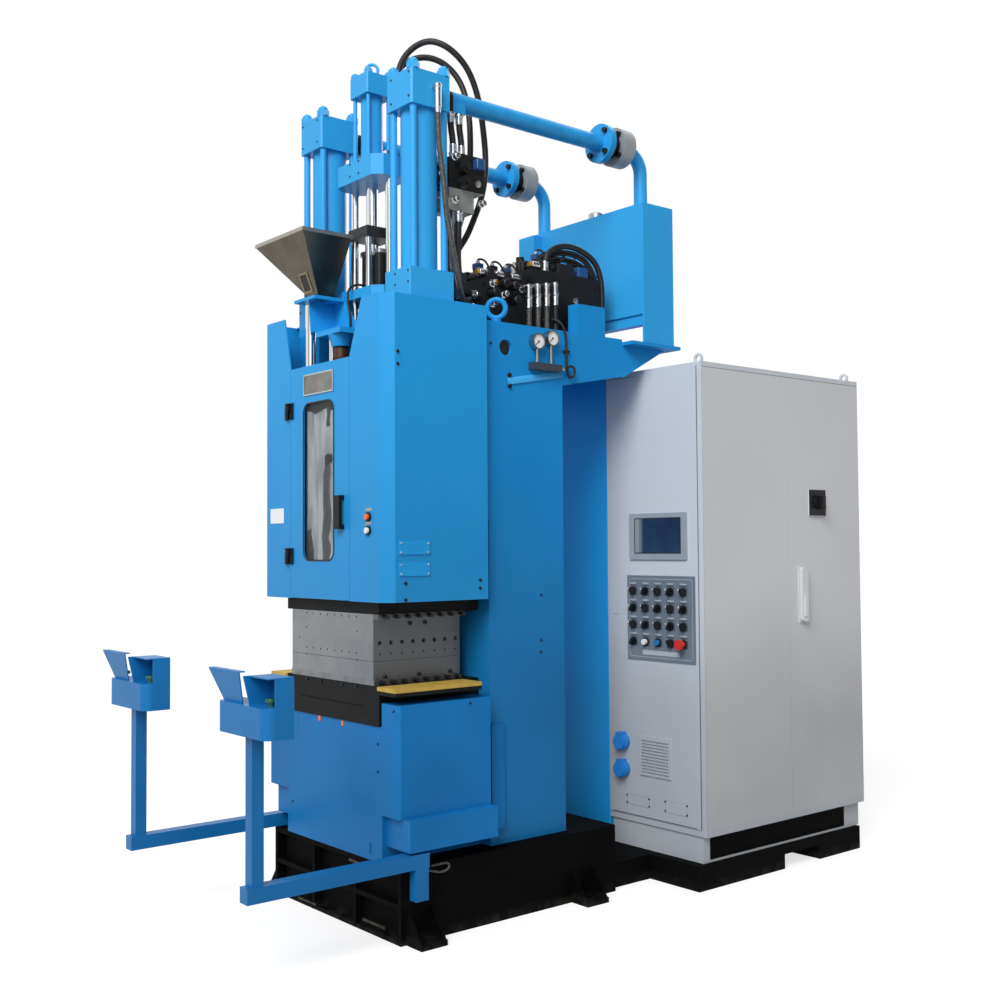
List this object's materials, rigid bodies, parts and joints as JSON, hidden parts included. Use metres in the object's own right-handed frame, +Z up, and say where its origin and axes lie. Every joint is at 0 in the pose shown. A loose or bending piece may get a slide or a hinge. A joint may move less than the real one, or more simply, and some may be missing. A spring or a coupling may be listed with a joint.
{
  "type": "injection moulding machine",
  "caption": "Vertical C-frame injection moulding machine with overhead clamp and injection cylinders, hopper, oil tank, two-hand console and free-standing control cabinet.",
  "frame": {"origin": "point on the floor under the injection axis, in the centre plane of the machine's skid", "axes": "+Z up along the injection axis, -Y towards the operator, +X to the operator's right, where the control cabinet stands"},
  "size_m": [1.353, 2.989, 3.3198],
  "materials": {
    "board_panel": "satin",
    "board_yellow": "matte",
    "button_black": "gloss",
    "button_blue": "gloss",
    "button_orange": "gloss",
    "button_white": "gloss",
    "chrome_rod": "polished",
    "fitting_steel": "satin",
    "gauge_metal": "satin",
    "handle_grey": "satin",
    "heat_plate": "satin",
    "hose_rubber": "matte",
    "mould_steel": "ground",
    "needle": "matte",
    "paint_black": "satin",
    "paint_blue": "gloss",
    "paint_grey": "satin",
    "palm_green": "gloss",
    "pane": "clear",
    "screen": "gloss",
    "socket_blue": "satin",
    "stainless": "brushed",
    "stop_red": "gloss",
    "valve_black": "satin",
    "valve_parts": "satin"
  },
  "bodies": {
    "machine": {"base_frame": "paint_black", "c_frame": "paint_blue", "lower_housing": "paint_blue", "side_covers": "paint_blue", "lower_table": "paint_black", "insulation_boards": "board_yellow", "lower_heating_plate": "heat_plate", "lower_mould_half": "mould_steel", "clamp_blocks": "paint_blue", "clamp_barrels": "paint_blue", "clamp_caps": "paint_blue", "clamp_tie_rods": "paint_blue", "upper_cover": "paint_blue", "prefill_pipes": "paint_blue", "tank_pipes": "paint_blue", "flange_bolts": "valve_black", "oil_tank": "paint_blue", "breather_cap": "fitting_steel", "power_pack_cover": "paint_blue", "valve_manifold": "valve_black", "solenoid_valves": "valve_parts", "hose_fittings": "fitting_steel", "fixed_hoses": "hose_rubber", "loop_hoses": "hose_rubber", "pressure_gauges": "gauge_metal", "console_arms": "paint_blue", "console_boxes": "paint_blue", "cabinet_body": "paint_grey", "cabinet_base": "paint_black", "cabinet_front_panel": "paint_grey", "service_sockets": "socket_blue", "hmi_screen": "screen", "operator_board": "board_panel"},
    "clamp_carriage": {"upper_platen": "paint_black", "upper_mould_half": "mould_steel", "clamp_rods": "chrome_rod", "injection_columns": "chrome_rod", "injection_crossheads": "paint_blue", "injection_cylinder": "paint_blue", "barrels": "valve_black", "hopper": "stainless", "hopper_bracket": "paint_blue"},
    "plunger_unit": {"plunger": "chrome_rod"},
    "front_door": {"front_door": "paint_blue", "door_window": "pane"},
    "cover_button_orange": {"cover_button_orange": "button_orange"},
    "cover_button_white": {"cover_button_white": "button_white"},
    "gauge_needle_front": {"gauge_needle_front": "needle"},
    "gauge_needle_rear": {"gauge_needle_rear": "needle"},
    "start_button_left": {"start_button_left": "palm_green"},
    "start_button_right": {"start_button_right": "palm_green"},
    "stop_button_left": {"stop_button_left": "button_black"},
    "stop_button_right": {"stop_button_right": "stop_red"},
    "panel_button_white": {"panel_button_white": "button_white"},
    "panel_button_blue": {"panel_button_blue": "button_blue"},
    "emergency_stop": {"emergency_stop": "stop_red"},
    "cabinet_door_front": {"cabinet_door_front": "paint_grey"},
    "cabinet_door_rear": {"cabinet_door_rear": "paint_grey"},
    "cabinet_handle": {"cabinet_handle": "handle_grey"},
    "main_switch": {"main_switch": "button_black"}
  },
  "joints": [
    {"name": "clamp_stroke", "type": "slide", "parent": "machine", "child": "clamp_carriage", "axis": [0, 0, 1], "range_m": [0, 0.3], "deforming": ["loop_hoses"]},
    {"name": "plunger_stroke", "type": "slide", "parent": "clamp_carriage", "child": "plunger_unit", "axis": [0, 0, 1], "range_m": [-0.02, 0.13]},
    {"name": "front_door_hinge", "type": "hinge", "parent": "machine", "child": "front_door", "pos_m": [-0.236, -0.2385, 1.6], "axis": [0, 0, 1], "range_deg": [-110, 0]},
    {"name": "cover_orange_press", "type": "slide", "parent": "machine", "child": "cover_button_orange", "axis": [0, 1, 0], "range_m": [0, 0.004], "stiffness_N_per_m": 400},
    {"name": "cover_white_press", "type": "slide", "parent": "machine", "child": "cover_button_white", "axis": [0, 1, 0], "range_m": [0, 0.004], "stiffness_N_per_m": 400},
    {"name": "start_left_press", "type": "slide", "parent": "machine", "child": "start_button_left", "axis": [0, 0, -1], "range_m": [0, 0.005], "stiffness_N_per_m": 900},
    {"name": "start_right_press", "type": "slide", "parent": "machine", "child": "start_button_right", "axis": [0, 0, -1], "range_m": [0, 0.005], "stiffness_N_per_m": 900},
    {"name": "stop_left_press", "type": "slide", "parent": "machine", "child": "stop_button_left", "axis": [0, 0, -1], "range_m": [0, 0.005], "stiffness_N_per_m": 900},
    {"name": "stop_right_press", "type": "slide", "parent": "machine", "child": "stop_button_right", "axis": [0, 0, -1], "range_m": [0, 0.005], "stiffness_N_per_m": 900},
    {"name": "panel_white_press", "type": "slide", "parent": "machine", "child": "panel_button_white", "axis": [0, 1, 0], "range_m": [0, 0.003], "stiffness_N_per_m": 400},
    {"name": "panel_blue_press", "type": "slide", "parent": "machine", "child": "panel_button_blue", "axis": [0, 1, 0], "range_m": [0, 0.003], "stiffness_N_per_m": 400},
    {"name": "emergency_stop_press", "type": "slide", "parent": "machine", "child": "emergency_stop", "axis": [0, 1, 0], "range_m": [0, 0.004], "stiffness_N_per_m": 900},
    {"name": "cabinet_front_hinge", "type": "hinge", "parent": "machine", "child": "cabinet_door_front", "pos_m": [0.672, 1.128, 1.1], "axis": [0, 0, 1], "range_deg": [-110, 0]},
    {"name": "cabinet_rear_hinge", "type": "hinge", "parent": "machine", "child": "cabinet_door_rear", "pos_m": [0.672, 2.183, 1.1], "axis": [0, 0, 1], "range_deg": [0, 110]},
    {"name": "cabinet_handle_swing", "type": "hinge", "parent": "cabinet_door_rear", "child": "cabinet_handle", "pos_m": [0.6765, 1.757, 1.265], "axis": [0, 1, 0], "range_deg": [-90, 0]},
    {"name": "main_switch_turn", "type": "hinge", "parent": "cabinet_door_rear", "child": "main_switch", "pos_m": [0.682, 1.868, 1.544], "axis": [1, 0, 0], "range_deg": [-90, 0]},
    {"name": "front_gauge_turn", "type": "hinge", "parent": "machine", "child": "gauge_needle_front", "pos_m": [0.41, 0.494, 2.15], "axis": [1, 0, 0], "range_deg": [-270, 0], "stiffness_Nm_per_rad": 0.002},
    {"name": "rear_gauge_turn", "type": "hinge", "parent": "machine", "child": "gauge_needle_rear", "pos_m": [0.41, 0.566, 2.169], "axis": [1, 0, 0], "range_deg": [-270, 0], "stiffness_Nm_per_rad": 0.002}
  ]
}
